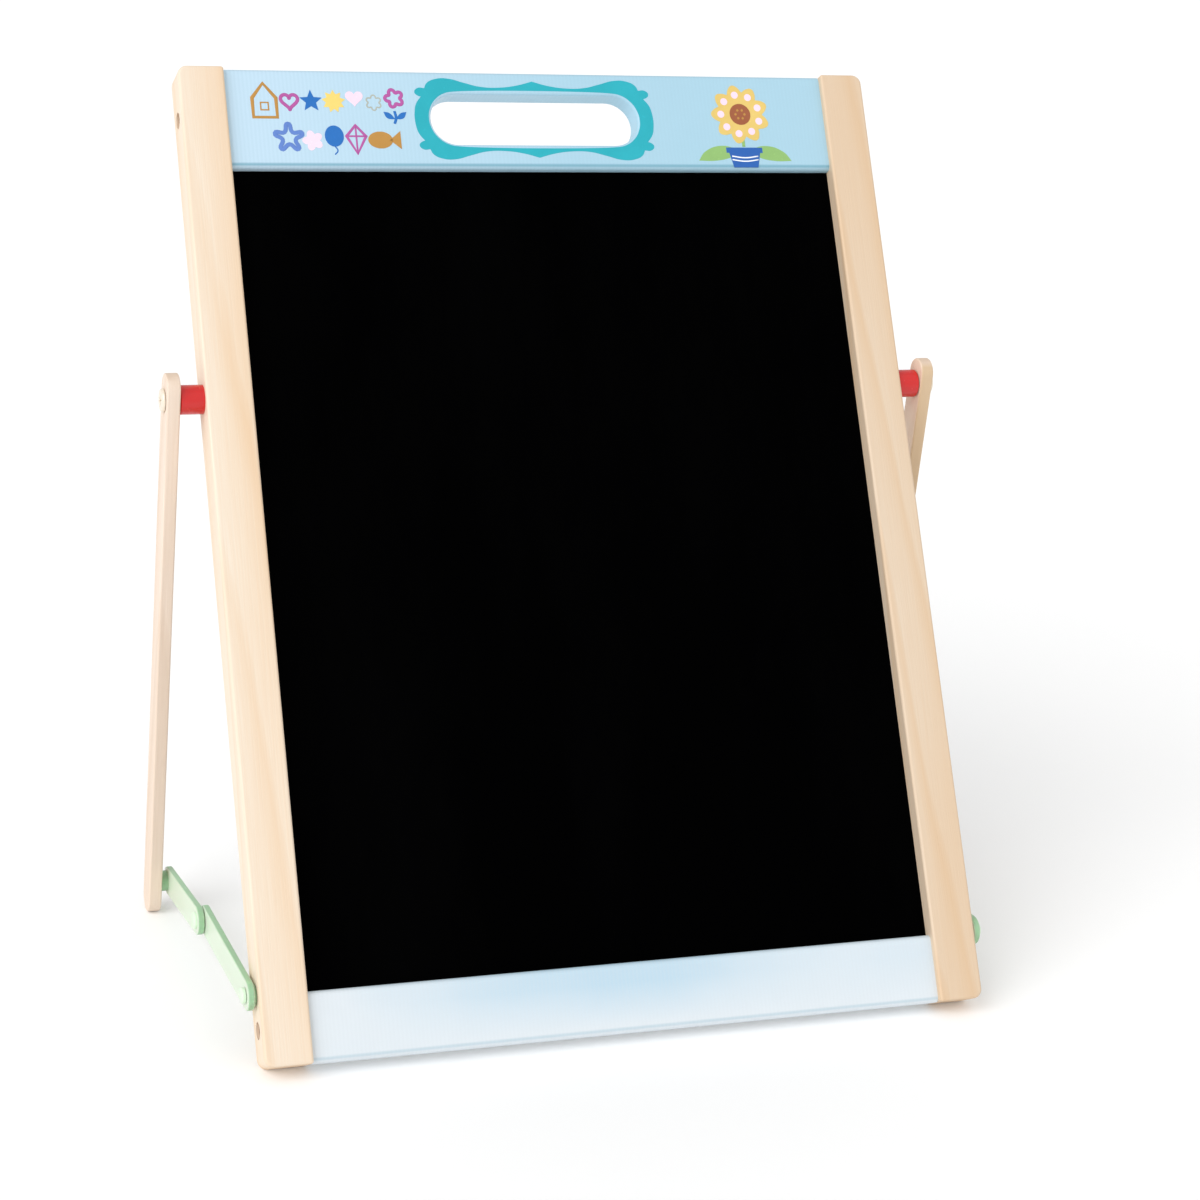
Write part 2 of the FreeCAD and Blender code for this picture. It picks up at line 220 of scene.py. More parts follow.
def pine_grain_group():
    """Growth rings, fibres, soft patches and knots. The grain runs along the third axis."""
    tree, given, result = new_group(
        "Pine grain",
        [
            ("Place", "NodeSocketVector", None),
            ("Light", "NodeSocketColor", (1, 1, 1, 1)),
            ("Dark", "NodeSocketColor", (0.5, 0.5, 0.5, 1)),
            ("Knot", "NodeSocketColor", (0.2, 0.2, 0.2, 1)),
            ("Rings", "NodeSocketFloat", 34.0),
            ("Seed", "NodeSocketFloat", 0.0),
        ],
        [("Color", "NodeSocketColor"), ("Roughness", "NodeSocketFloat"), ("Height", "NodeSocketFloat")],
    )
    link = tree.links.new
    place = given.outputs["Place"]
    shifted = put(tree, "ShaderNodeVectorMath", i0=place)
    shifted.operation = "ADD"
    seed = given.outputs["Seed"]
    link(put(tree, "ShaderNodeCombineXYZ", X=seed, Z=seed).outputs[0], shifted.inputs[1])
    long_way = put(tree, "ShaderNodeMapping", Vector=shifted.outputs[0], Scale=(1.0, 1.0, 0.09)).outputs[0]
    bend = put(tree, "ShaderNodeTexNoise", Vector=long_way, Scale=26.0, Detail=2.0, Roughness=0.45)
    bent = put(tree, "ShaderNodeVectorMath", i0=bend.outputs["Color"], i1=(0.020, 0.020, 0.0))
    bent.operation = "MULTIPLY"
    moved = put(tree, "ShaderNodeVectorMath", i0=long_way, i1=bent.outputs[0])
    moved.operation = "ADD"
    rings = put(
        tree, "ShaderNodeTexWave", Vector=moved.outputs[0], Scale=given.outputs["Rings"], Distortion=1.4
    )
    rings.inputs["Detail"].default_value = 2.0
    rings.inputs["Detail Scale"].default_value = 1.6
    rings.bands_direction = "DIAGONAL"
    rings.wave_profile = "SAW"
    ring_stops = [(0.0, 0.0), (0.55, 0.22), (0.86, 0.85), (0.97, 0.35), (1.0, 0.0)]
    ring_mask = ramp(tree, rings.outputs["Fac"], ring_stops)
    fibre_place = put(
        tree, "ShaderNodeMapping", Vector=shifted.outputs[0], Scale=(1.0, 1.0, 0.018)
    ).outputs[0]
    fibres = put(tree, "ShaderNodeTexNoise", Vector=fibre_place, Scale=1500.0, Detail=3.0, Roughness=0.6)
    fibre_mask = ramp(tree, fibres.outputs["Fac"], [(0.38, 0.0), (0.66, 1.0)])
    patches = put(tree, "ShaderNodeTexNoise", Vector=long_way, Scale=19.0, Detail=1.5)
    patch_mask = ramp(tree, patches.outputs["Fac"], [(0.36, 0.0), (0.66, 1.0)])
    knot_place = put(tree, "ShaderNodeMapping", Vector=moved.outputs[0], Scale=(1.0, 1.0, 4.2)).outputs[0]
    knots = put(tree, "ShaderNodeTexVoronoi", Vector=knot_place, Scale=7.5, Randomness=1.0)
    knot_mask = ramp(tree, knots.outputs["Distance"], [(0.0, 1.0), (0.035, 0.75), (0.075, 0.0)])
    halo = ramp(tree, knots.outputs["Distance"], [(0.02, 0.8), (0.20, 0.0)])
    in_patches = maths(tree, "ADD", maths(tree, "MULTIPLY", patch_mask, 0.5), 0.35)
    strength = maths(tree, "MULTIPLY", ring_mask, in_patches)
    shade = mix(tree, strength, given.outputs["Light"], given.outputs["Dark"])
    soft = mix(tree, maths(tree, "MULTIPLY", patch_mask, 0.62), shade, given.outputs["Dark"])
    soft = mix(tree, maths(tree, "MULTIPLY", fibre_mask, 0.20), soft, given.outputs["Dark"])
    soft = mix(tree, maths(tree, "MULTIPLY", halo, 0.45), soft, given.outputs["Dark"])
    soft = mix(tree, maths(tree, "MULTIPLY", knot_mask, 0.8), soft, given.outputs["Knot"])
    link(soft, result.inputs["Color"])
    link(maths(tree, "ADD", maths(tree, "MULTIPLY", fibre_mask, 0.12), 0.50), result.inputs["Roughness"])
    ring_height = maths(tree, "MULTIPLY", ring_mask, 0.35)
    fibre_height = maths(tree, "MULTIPLY", fibre_mask, 0.65)
    link(maths(tree, "ADD", ring_height, fibre_height), result.inputs["Height"])
    return tree


def wear_group():
    """Fine mottling, hair scratches and dust for plastic, paint, ink and metal."""
    tree, given, result = new_group(
        "Fine wear",
        [
            ("Place", "NodeSocketVector", None),
            ("Base", "NodeSocketColor", (0.5, 0.5, 0.5, 1)),
            ("Worn", "NodeSocketColor", (0.8, 0.8, 0.8, 1)),
            ("Amount", "NodeSocketFloat", 0.2),
            ("Roughness", "NodeSocketFloat", 0.4),
            ("Grain", "NodeSocketFloat", 900.0),
        ],
        [("Color", "NodeSocketColor"), ("Roughness", "NodeSocketFloat"), ("Height", "NodeSocketFloat")],
    )
    link = tree.links.new
    place = given.outputs["Place"]
    cloud = put(tree, "ShaderNodeTexNoise", Vector=place, Scale=55.0, Detail=4.0, Roughness=0.6)
    cloud_mask = ramp(tree, cloud.outputs["Fac"], [(0.40, 0.0), (0.72, 1.0)])
    grain = put(tree, "ShaderNodeTexNoise", Vector=place, Scale=given.outputs["Grain"], Detail=2.0)
    hair_place = put(
        tree, "ShaderNodeMapping", Vector=place, Rotation=(0.4, 0.9, 0.3), Scale=(1.0, 0.05, 1.0)
    )
    hair = put(tree, "ShaderNodeTexNoise", Vector=hair_place.outputs[0], Scale=700.0, Detail=1.0)
    hair_mask = ramp(tree, hair.outputs["Fac"], [(0.70, 0.0), (0.74, 1.0)])
    both = maths(tree, "MAXIMUM", maths(tree, "MULTIPLY", cloud_mask, 0.7), hair_mask)
    mask = maths(tree, "MULTIPLY", both, given.outputs["Amount"])
    link(mix(tree, mask, given.outputs["Base"], given.outputs["Worn"]), result.inputs["Color"])
    rough = maths(tree, "ADD", given.outputs["Roughness"], maths(tree, "MULTIPLY", mask, 0.35))
    link(rough, result.inputs["Roughness"])
    scratches = maths(tree, "MULTIPLY", hair_mask, -0.6)
    link(maths(tree, "ADD", grain.outputs["Fac"], scratches), result.inputs["Height"])
    return tree


groups = {}


def group(name, maker):
    if name not in groups:
        groups[name] = maker()
    return groups[name]


def start_material(name):
    material = bpy.data.materials.new(name)
    material.use_nodes = True
    tree = material.node_tree
    return material, tree, tree.nodes["Principled BSDF"]


def object_place(tree, turn=0.0):
    """Object coordinates, turned about X so that the third axis follows a leaning piece."""
    coordinates = tree.nodes.new("ShaderNodeTexCoord").outputs["Object"]
    return put(tree, "ShaderNodeMapping", Vector=coordinates, Rotation=(turn, 0.0, 0.0)).outputs[0]


def use_group(tree, which, **sockets):
    node = tree.nodes.new("ShaderNodeGroup")
    node.node_tree = which
    for name, value in sockets.items():
        socket = node.inputs[name]
        if isinstance(value, bpy.types.NodeSocket):
            tree.links.new(value, socket)
        else:
            socket.default_value = value
    return node


def bump(tree, shader, height, strength, distance):
    node = put(tree, "ShaderNodeBump", Strength=strength, Distance=distance, Height=height)
    tree.links.new(node.outputs["Normal"], shader.inputs["Normal"])


def facing(tree, turn=0.0):
    """How squarely a face looks along each axis of the turned piece, 0 to 1, as three masks."""
    normal = tree.nodes.new("ShaderNodeTexCoord").outputs["Normal"]
    turned = put(tree, "ShaderNodeMapping", Vector=normal, Rotation=(turn, 0.0, 0.0))
    turned.vector_type = "NORMAL"
    split = put(tree, "ShaderNodeSeparateXYZ", Vector=turned.outputs[0])
    return [maths(tree, "ABSOLUTE", split.outputs[axis]) for axis in ("X", "Y", "Z")]


def pine(name, light, dark, wood, turn, seed, edge=None):
    """Clear lacquered pine whose grain follows the piece, darker at its end grain."""
    material, tree, shader = start_material(name)
    place = object_place(tree, turn)
    grain = use_group(
        tree, group("pine", pine_grain_group), Place=place, Light=light, Dark=dark,
        Knot=wood.knot, Rings=wood.ring_scale, Seed=seed,
    )
    shade = grain.outputs["Color"]
    _, front, end = facing(tree, turn)
    # Painted shade, partly real: the edge tone tints the narrow front faces, part edge grain and part the
    # shade on them.
    if edge:
        narrow_face_shade = ramp(tree, front, [(0.45, 0.0), (0.75, 0.8)])
        shade = mix(tree, narrow_face_shade, shade, tuple(edge))
    end_mask = ramp(tree, end, [(0.70, 0.0), (0.95, 0.55)])
    shade = mix(tree, end_mask, shade, tuple(channel * 0.88 for channel in dark[:3]) + (1.0,))
    tree.links.new(shade, shader.inputs["Base Color"])
    tree.links.new(grain.outputs["Roughness"], shader.inputs["Roughness"])
    bump(tree, shader, grain.outputs["Height"], 0.35, 0.15 * mm)
    shader.inputs["Coat Weight"].default_value = 0.12
    shader.inputs["Coat Roughness"].default_value = 0.35
    return material


def toned(tone, share):
    """A colour darkened by a share."""
    return tuple(channel * (1.0 - share) for channel in tone[:3]) + (1.0,)


def worn(name, base, amount=0.2, roughness=0.4, metallic=0.0, grain=900.0, strength=0.15, lift=1.25):
    """Plastic, paint, ink or metal with fine wear."""
    material, tree, shader = start_material(name)
    place = object_place(tree)
    lighter = tuple(min(1.0, channel * lift + 0.02) for channel in base[:3]) + (1.0,)
    wear = use_group(
        tree, group("wear", wear_group), Place=place, Base=tuple(base), Worn=lighter, Amount=amount,
        Roughness=roughness, Grain=grain,
    )
    tree.links.new(wear.outputs["Color"], shader.inputs["Base Color"])
    tree.links.new(wear.outputs["Roughness"], shader.inputs["Roughness"])
    shader.inputs["Metallic"].default_value = metallic
    bump(tree, shader, wear.outputs["Height"], strength, 0.05 * mm)
    return material, tree, shader


def painted_rail(name, base, second, left_painted_light, edge, low, high, tint):
    """Printed film on a rail: faint weave, a second tone and a darker line near its edges.

    On the top rail the second tone is painted light, paler towards the left end where the light falls; on the
    bottom rail it lies about the middle of the upper half.
    """
    material, tree, shader = worn(name, base, 0.08, 0.36, strength=0.08)
    place = object_place(tree, lean)
    split = put(tree, "ShaderNodeSeparateXYZ", Vector=place)
    weave = put(tree, "ShaderNodeTexWave", Vector=place, Scale=150.0, Distortion=0.6)
    weave.bands_direction = "X"
    cross = put(tree, "ShaderNodeTexWave", Vector=place, Scale=260.0, Distortion=0.4)
    cross.bands_direction = "Z"
    up = split.outputs["Z"]
    clouds = put(tree, "ShaderNodeTexNoise", Vector=place, Scale=11.0, Detail=2.0)
    cloud_mask = ramp(tree, clouds.outputs["Fac"], [(0.30, 0.0), (0.52, 1.0)])
    if left_painted_light:
        # Painted light: paler towards the left end, where the light falls, with a little drifting cloud.
        across = put(
            tree, "ShaderNodeMapRange", Value=split.outputs["X"], i1=20.0 * mm, i2=-150.0 * mm
        ).outputs[0]
        second_mask = maths(tree, "ADD", across, maths(tree, "MULTIPLY", cloud_mask, 0.12))
    else:
        near_top = put(
            tree, "ShaderNodeMapRange", Value=up, i1=low + 4.0 * mm, i2=high - 10.0 * mm
        ).outputs[0]
        off_centre = maths(tree, "ABSOLUTE", split.outputs["X"])
        middle = put(tree, "ShaderNodeMapRange", Value=off_centre, i1=130.0 * mm, i2=20.0 * mm).outputs[0]
        steady = maths(tree, "MULTIPLY", middle, 0.75)
        drifting = maths(tree, "MULTIPLY", cloud_mask, 0.25)
        second_mask = maths(tree, "MULTIPLY", maths(tree, "ADD", steady, drifting), near_top)
    old = shader.inputs["Base Color"].links[0].from_socket
    shade = mix(tree, second_mask, old, tuple(second))
    deeper = tuple(channel * 0.90 for channel in base[:3]) + (1.0,)
    shade = mix(tree, maths(tree, "MULTIPLY", weave.outputs["Fac"], 0.16), shade, deeper)
    lower_band = 4.0 * mm
    upper_band = 1.6 * mm
    from_low = put(tree, "ShaderNodeMapRange", Value=up, i1=low, i2=low + lower_band).outputs[0]
    lower = ramp(tree, from_low, [(0.0, 0.0), (0.26, 0.05), (0.46, 1.0), (0.60, 0.85), (0.82, 0.0)])
    upper = put(
        tree, "ShaderNodeMapRange", Value=up, i1=high - upper_band, i2=high, i3=0.0, i4=0.5
    ).outputs[0]
    shade = mix(tree, maths(tree, "MULTIPLY", maths(tree, "MAXIMUM", lower, upper), tint), shade, tuple(edge))
    tree.links.new(shade, shader.inputs["Base Color"])
    height = maths(tree, "ADD", weave.outputs["Fac"], cross.outputs["Fac"])
    bump(tree, shader, height, 0.10, 0.05 * mm)
    return material


def chalkboard(name, base):
    """Matt black coating with a fine tooth and the faintest wiped haze."""
    material, tree, shader = start_material(name)
    place = object_place(tree, lean)
    swept = put(tree, "ShaderNodeMapping", Vector=place, Rotation=(0.0, 0.5, 0.0), Scale=(1.0, 1.0, 0.3))
    haze = put(tree, "ShaderNodeTexNoise", Vector=swept.outputs[0], Scale=14.0, Detail=5.0, Roughness=0.65)
    haze_mask = ramp(tree, haze.outputs["Fac"], [(0.45, 0.0), (0.80, 1.0)])
    dusty = tuple(channel + 0.0006 for channel in base[:3]) + (1.0,)
    shade = mix(tree, haze_mask, tuple(base), dusty)
    tooth = put(tree, "ShaderNodeTexNoise", Vector=place, Scale=2200.0, Detail=2.0)
    tree.links.new(shade, shader.inputs["Base Color"])
    rough = maths(tree, "ADD", maths(tree, "MULTIPLY", haze_mask, 0.06), 0.88)
    tree.links.new(rough, shader.inputs["Roughness"])
    shader.inputs["Specular IOR Level"].default_value = 0.0
    bump(tree, shader, tooth.outputs["Fac"], 0.25, 0.04 * mm)
    return material


def dress(names, material):
    """Gives CAD nodes a material in every slot."""
    for name in names:
        slots = nodes[name].material_slots
        for slot in slots:
            slot.link = "DATA"
            slot.material = material
        if not slots:
            nodes[name].data.materials.append(material)


def both_sides(*names):
    return [side + "_" + name for side in ("left", "right") for name in names]


# ---------------------------------------------------------------- print shapes

def rail_matrix():
    """Print coordinates, x across, y up from the rail's lower edge and z out, to the object."""
    across = Vector((1.0, 0.0, 0.0))
    origin = up_way * rail_low + out_way * rail_face
    turn = Matrix((across, up_way, out_way)).transposed().to_4x4()
    return Matrix.Translation(origin) @ turn


def to_mesh(name, curve):
    """The mesh of a curve, cleaned, before it is put in place."""
    holder = bpy.data.objects.new(name + "_curve", curve)
    bpy.context.scene.collection.objects.link(holder)
    graph = bpy.context.evaluated_depsgraph_get()
    mesh = bpy.data.meshes.new_from_object(holder.evaluated_get(graph))
    bpy.data.objects.remove(holder)
    mesh.name = name
    return mesh


def finish_print(name, meshes, material):
    """Joins flat meshes, lays them on the rail's face, faces outwards, and rides them."""
    whole = bmesh.new()
    for mesh in meshes:
        whole.from_mesh(mesh)
        bpy.data.meshes.remove(mesh)
    bmesh.ops.remove_doubles(whole, verts=whole.verts, dist=0.002 * mm)
    bmesh.ops.transform(whole, matrix=rail_matrix(), verts=whole.verts)
    bmesh.ops.recalc_face_normals(whole, faces=whole.faces)
    mesh = bpy.data.meshes.new(name)
    whole.to_mesh(mesh)
    whole.free()
    piece = bpy.data.objects.new(name, mesh)
    bpy.context.scene.collection.objects.link(piece)
    mesh.materials.clear()
    mesh.materials.append(material)
    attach(piece, "root")
    return piece


def filled(loops, thickness):
    """A flat shape from closed loops of (x, y, sharp) points in millimetres."""
    curve = bpy.data.curves.new("flat", "CURVE")
    curve.dimensions = "2D"
    curve.fill_mode = "BOTH"
    curve.extrude = thickness / 2.0
    curve.resolution_u = 10
    for loop in loops:
        spline = curve.splines.new("BEZIER")
        spline.bezier_points.add(len(loop) - 1)
        spline.use_cyclic_u = True
        for point, (x, y, sharp) in zip(spline.bezier_points, loop):
            point.co = (x * mm, y * mm, 0.0)
            point.handle_left_type = "AUTO" if not sharp else "VECTOR"
            point.handle_right_type = "AUTO" if not sharp else "VECTOR"
    return to_mesh("flat", curve)


def stroke(points, width, thickness, closed=False, handles="AUTO"):
    """A crayon line of (x, y, relative width) points in millimetres, slightly domed."""
    curve = bpy.data.curves.new("stroke", "CURVE")
    curve.dimensions = "3D"
    curve.bevel_depth = width * mm / 2.0
    curve.bevel_resolution = 3
    curve.resolution_u = 6
    curve.use_fill_caps = True
    spline = curve.splines.new("BEZIER")
    spline.bezier_points.add(len(points) - 1)
    spline.use_cyclic_u = closed
    for point, (x, y, share) in zip(spline.bezier_points, points):
        point.co = (x * mm, y * mm, 0.0)
        point.radius = share
        point.handle_left_type = handles
        point.handle_right_type = handles
    mesh = to_mesh("stroke", curve)
    mesh.transform(Matrix.Diagonal((1.0, 1.0, 2.0 * thickness / (width * mm), 1.0)))
    return mesh


def ring(x, y, radius_x, radius_y, count=12):
    """A closed round or oval loop."""
    turns = [2.0 * math.pi * step / count for step in range(count)]
    return [(x + radius_x * math.cos(a), y + radius_y * math.sin(a), False) for a in turns]


def petal_ring(x, y, radius, petals, depth):
    """A scalloped round outline: each petal bulges and the notches between are sharp."""
    loop = []
    for petal in range(petals):
        start = 2.0 * math.pi * petal / petals
        for part in range(4):
            angle = start + 2.0 * math.pi * part / (4 * petals)
            size = radius * (1.0 - depth * abs(math.cos(math.pi * part / 4.0)) ** 3)
            loop.append((x + size * math.cos(angle), y + size * math.sin(angle), part == 0))
    return loop


def stadium(x, y, whole, high):
    """A closed loop with half-round ends."""
    radius = high / 2.0
    straight = whole / 2.0 - radius
    loop = []
    for side, start in ((1.0, -90.0), (-1.0, 90.0)):
        for step in range(9):
            angle = math.radians(start + 22.5 * step)
            loop.append((x + side * straight + radius * math.cos(angle), y + radius * math.sin(angle), False))
    return loop


def scroll_outline(x, y):
    """The scalloped frame: one quarter listed, mirrored to all four."""
    quarter = [
        (0.0, 21.3, True), (8.0, 19.1, False), (18.0, 17.7, False), (29.0, 18.0, False),
        (38.0, 20.2, False), (46.0, 22.3, False), (53.0, 22.1, False), (58.2, 19.6, False),
        (59.6, 16.9, True), (63.3, 16.9, False), (65.2, 14.7, False), (63.4, 12.6, False),
        (62.0, 12.2, True), (65.0, 8.0, False), (66.2, 3.0, False),
    ]
    right_down = [(px, -py, sharp) for px, py, sharp in reversed(quarter)]
    right = quarter + [(66.4, 0.0, False)] + right_down
    left = [(-px, py, sharp) for px, py, sharp in reversed(right[1:-1])]
    return [(x + px, y + py, sharp) for px, py, sharp in right + left]


def ink(name, tone):
    """Crayon ink, matt and patchy."""
    return worn("ink_" + name, tone, 0.34, 0.52, grain=620.0, strength=0.2, lift=1.3)[0]


# ---------------------------------------------------------------- operators

class EASEL_OT_pine(bpy.types.Operator):
    """Gives the stiles and legs their pine"""
    bl_idname = "easel.pine"
    bl_label = "Pine stiles and legs"

    def execute(self, context):
        wood = context.scene.easel_wood
        # The right side carries painted shade: a darker stile, and darker narrow faces on the leg.
        sides = (("left", 0.0, None), ("right", wood.right_stile_shade, wood.right_leg_edge_shade))
        for number, (side, stile_shade_share, edge) in enumerate(sides):
            light, dark = toned(wood.light, stile_shade_share), toned(wood.dark, stile_shade_share)
            stile_seed = 0.37 + 1.71 * number
            dress([side + "_stile"], pine(side + "_stile_pine", light, dark, wood, lean, stile_seed))
            leg_seed = 2.9 + 0.83 * number
            leg_tones = (tuple(wood.leg_light), tuple(wood.leg_dark))
            dress([side + "_leg"], pine(side + "_leg_pine", *leg_tones, wood, leg_lean, leg_seed, edge))
        return {"FINISHED"}


class EASEL_OT_rails(bpy.types.Operator):
    """Covers both rails with their pale blue printed film"""
    bl_idname = "easel.rails"
    bl_label = "Painted rails"

    def execute(self, context):
        paint = context.scene.easel_paint
        for node, base, second, left_painted_light, tint in (
            ("top_rail", paint.top, paint.top_left_light, True, 0.80),
            ("bottom_rail", paint.low, paint.low_blue, False, 0.30),
        ):
            low, high = reach(node, up_way)
            dress([node], painted_rail(node + "_film", base, second, left_painted_light, paint.edge, low, high, tint))
        return {"FINISHED"}


class EASEL_OT_boards(bpy.types.Operator):
    """Coats the chalkboard and the dry-erase sheet behind it"""
    bl_idname = "easel.boards"
    bl_label = "Boards"

    def execute(self, context):
        paint = context.scene.easel_paint
        dress(["chalkboard_panel"], chalkboard("chalk_coating", paint.board))
        sheet, _, shader = worn("dry_erase_sheet", paint.dry, 0.12, 0.10, strength=0.04)
        shader.inputs["Coat Weight"].default_value = 0.6
        shader.inputs["Coat Roughness"].default_value = 0.05
        dress(["dry_erase_panel"], sheet)
        return {"FINISHED"}


class EASEL_OT_hardware(bpy.types.Operator):
    """Finishes the screws, bolts, inserts and red spacers"""
    bl_idname = "easel.hardware"
    bl_label = "Pivot hardware"

    def execute(self, context):
        tones = context.scene.easel_hardware
        red, tree, shader = worn("spacer_plastic", tones.spacer, 0.14, 0.24, strength=0.06)
        shader.inputs["Coat Weight"].default_value = 0.3
        turned = put(tree, "ShaderNodeTexWave", Vector=object_place(tree), Scale=420.0, Distortion=0.3)
        turned.bands_direction = "X"
        bump(tree, shader, turned.outputs["Fac"], 0.25, 0.06 * mm)
        dress(both_sides("pivot_spacer"), red)
        plate = worn("bolt_plate", tones.bolt, 0.3, 0.36, metallic=0.3, grain=1600.0)[0]
        dress(both_sides("pivot_bolt"), plate)
        zinc = worn("zinc_plate", tones.zinc, 0.35, 0.28, metallic=1.0, grain=1600.0)[0]
        dress(both_sides("brace_leg_screw"), zinc)
        dress(both_sides("pivot_insert"), worn("brass_insert", tones.brass, 0.3, 0.3, metallic=1.0)[0])
        bronze = worn("brown_screw", tones.screw, 0.3, 0.38, metallic=0.75, grain=1600.0)[0]
        dress(["top_rail_screws", "bottom_rail_screws"], bronze)
        return {"FINISHED"}


class EASEL_OT_braces(bpy.types.Operator):
    """Gives the two-link braces their pale translucent plastic"""
    bl_idname = "easel.braces"
    bl_label = "Green braces"

    def execute(self, context):
        tones = context.scene.easel_hardware
        plastic, tree, shader = worn("brace_plastic", tones.brace, 0.25, 0.30, strength=0.05)
        side, _, _ = facing(tree)
        # Painted shade: faces that don't look sideways, the narrow faces and ends of the links, turn deeper
        # green.
        edge_shade = ramp(tree, side, [(0.25, 0.75), (0.90, 0.0)])
        old = shader.inputs["Base Color"].links[0].from_socket
        tree.links.new(mix(tree, edge_shade, old, tuple(tones.brace_edge_shade)), shader.inputs["Base Color"])
        shader.inputs["Transmission Weight"].default_value = 0.2
        shader.inputs["IOR"].default_value = 1.46
        shader.inputs["Subsurface Weight"].default_value = 0.3
        shader.inputs["Subsurface Radius"].default_value = (0.6, 1.0, 0.7)
        shader.inputs["Subsurface Scale"].default_value = 2.0 * mm
        dress(both_sides("brace_front_link", "brace_rear_link"), plastic)
        rivet = worn("rivet_plastic", linear(0.84, 0.93, 0.82), 0.2, 0.3)[0]
        dress(both_sides("brace_rivet_inner", "brace_rivet_outer", "brace_stile_screw"), rivet)
        return {"FINISHED"}


class EASEL_OT_scroll_frame(bpy.types.Operator):
    """Prints the scalloped teal frame round the handle slot"""
    bl_idname = "easel.scroll_frame"
    bl_label = "Scroll frame print"

    def execute(self, context):
        look = context.scene.easel_print
        middle = look.slot_centre / mm
        hole = stadium(0.0, middle, look.slot_length / mm, look.slot_height / mm)
        flat = filled([scroll_outline(0.0, middle), hole], look.ink)
        finish_print("scroll_frame_print", [flat], ink("teal", look.frame_colour))
        return {"FINISHED"}


def star(x, y, outer, inner, points=5):
    """A star with one point straight up."""
    straight_up = 90.0
    loop = []
    for step in range(2 * points):
        radius = inner if step % 2 else outer
        angle = math.radians(straight_up + 180.0 * step / points)
        loop.append((x + radius * math.cos(angle), y + radius * math.sin(angle), True))
    return loop


def heart(x, y, size, steps=20):
    """A heart from a sum of cosines, sharp at its notch and its tip."""
    loop = []
    for step in range(steps):
        a = 2.0 * math.pi * step / steps
        across = 16.0 * math.sin(a) ** 3
        high = 13.0 * math.cos(a) - 5.0 * math.cos(2 * a) - 2.0 * math.cos(3 * a) - math.cos(4 * a)
        loop.append((x + size * across / 16.0, y + size * high / 16.0, step in (0, steps // 2)))
    return loop


def balloon(x, y, radius):
    return ring(x, y, radius, radius * 1.15)


class EASEL_OT_doodles(bpy.types.Operator):
    """Prints a row of crayon doodles at the left end of the top rail"""
    bl_idname = "easel.doodles"
    bl_label = "Crayon doodles"

    def execute(self, context):
        thick = context.scene.easel_print.ink
        line = 2.1

        def closed_stroke(loop, width):
            return stroke([(x, y, 1.0) for x, y, _ in loop], width, thick, closed=True)

        def outline(points, width):
            return stroke([(x, y, 1.0) for x, y in points], width, thick, closed=True, handles="VECTOR")

        house = [(-152.0, 27.5), (-139.5, 27.5), (-139.5, 38.0), (-145.8, 46.0), (-152.0, 38.0)]
        window = [(-147.8, 31.5), (-143.8, 31.5), (-143.8, 35.5), (-147.8, 35.5)]
        kite = [(-98.8, 23.5), (-93.6, 17.5), (-98.8, 8.0), (-104.0, 17.5)]
        tail = [(-81.0, 15.5), (-75.0, 20.5), (-75.0, 10.5)]
        right_leaf = [(-76.8, 27.0, True), (-73.6, 30.4, False), (-70.6, 31.0, True), (-72.4, 27.6, False)]
        left_leaf = [(-76.9, 27.0, True), (-80.0, 30.4, False), (-83.0, 31.0, True), (-81.2, 27.6, False)]
        drawings = {
            "gold_brown": [
                outline(house, line),
                outline(window, 1.1),
                filled([ring(-86.0, 15.5, 6.6, 4.6)], 2.0 * thick),
                filled([[(x, y, True) for x, y in tail]], 2.0 * thick),
            ],
            "magenta": [
                closed_stroke(heart(-132.6, 36.5, 4.5), 1.9),
                closed_stroke(petal_ring(-76.6, 38.5, 4.9, 5, 0.35), 1.9),
                outline(kite, 1.9),
                stroke([(-98.8, 23.5, 1.0), (-98.8, 8.0, 1.0)], 1.0, thick),
                stroke([(-104.0, 17.5, 1.0), (-93.6, 17.5, 1.0)], 1.0, thick),
            ],
            "blue": [
                filled([star(-121.2, 36.5, 6.2, 2.8)], 2.0 * thick),
                filled([balloon(-110.5, 17.5, 5.0)], 2.0 * thick),
                stroke([(-110.5, 11.8, 0.6), (-109.3, 9.6, 0.6), (-111.0, 7.4, 0.6)], 1.2, thick),
                stroke([(-77.0, 31.5, 0.9), (-76.5, 27.5, 1.0), (-77.5, 24.5, 0.9)], 1.6, thick),
                filled([right_leaf], 2.0 * thick),
                filled([left_leaf], 2.0 * thick),
            ],
            "yellow": [filled([star(-109.2, 36.5, 6.3, 4.1, 9)], 2.0 * thick)],
            "pink": [
                filled([heart(-98.0, 38.5, 4.7)], 2.0 * thick),
                filled([petal_ring(-122.0, 15.0, 5.6, 5, 0.35)], 2.0 * thick),
            ],
            "periwinkle": [closed_stroke(star(-134.5, 16.5, 7.6, 3.6), 2.3)],
            "stone": [closed_stroke(petal_ring(-87.8, 36.0, 4.2, 6, 0.3), 0.8)],
        }
        for name, meshes in drawings.items():
            finish_print("doodle_" + name, meshes, ink(name, palette[name]))
        return {"FINISHED"}


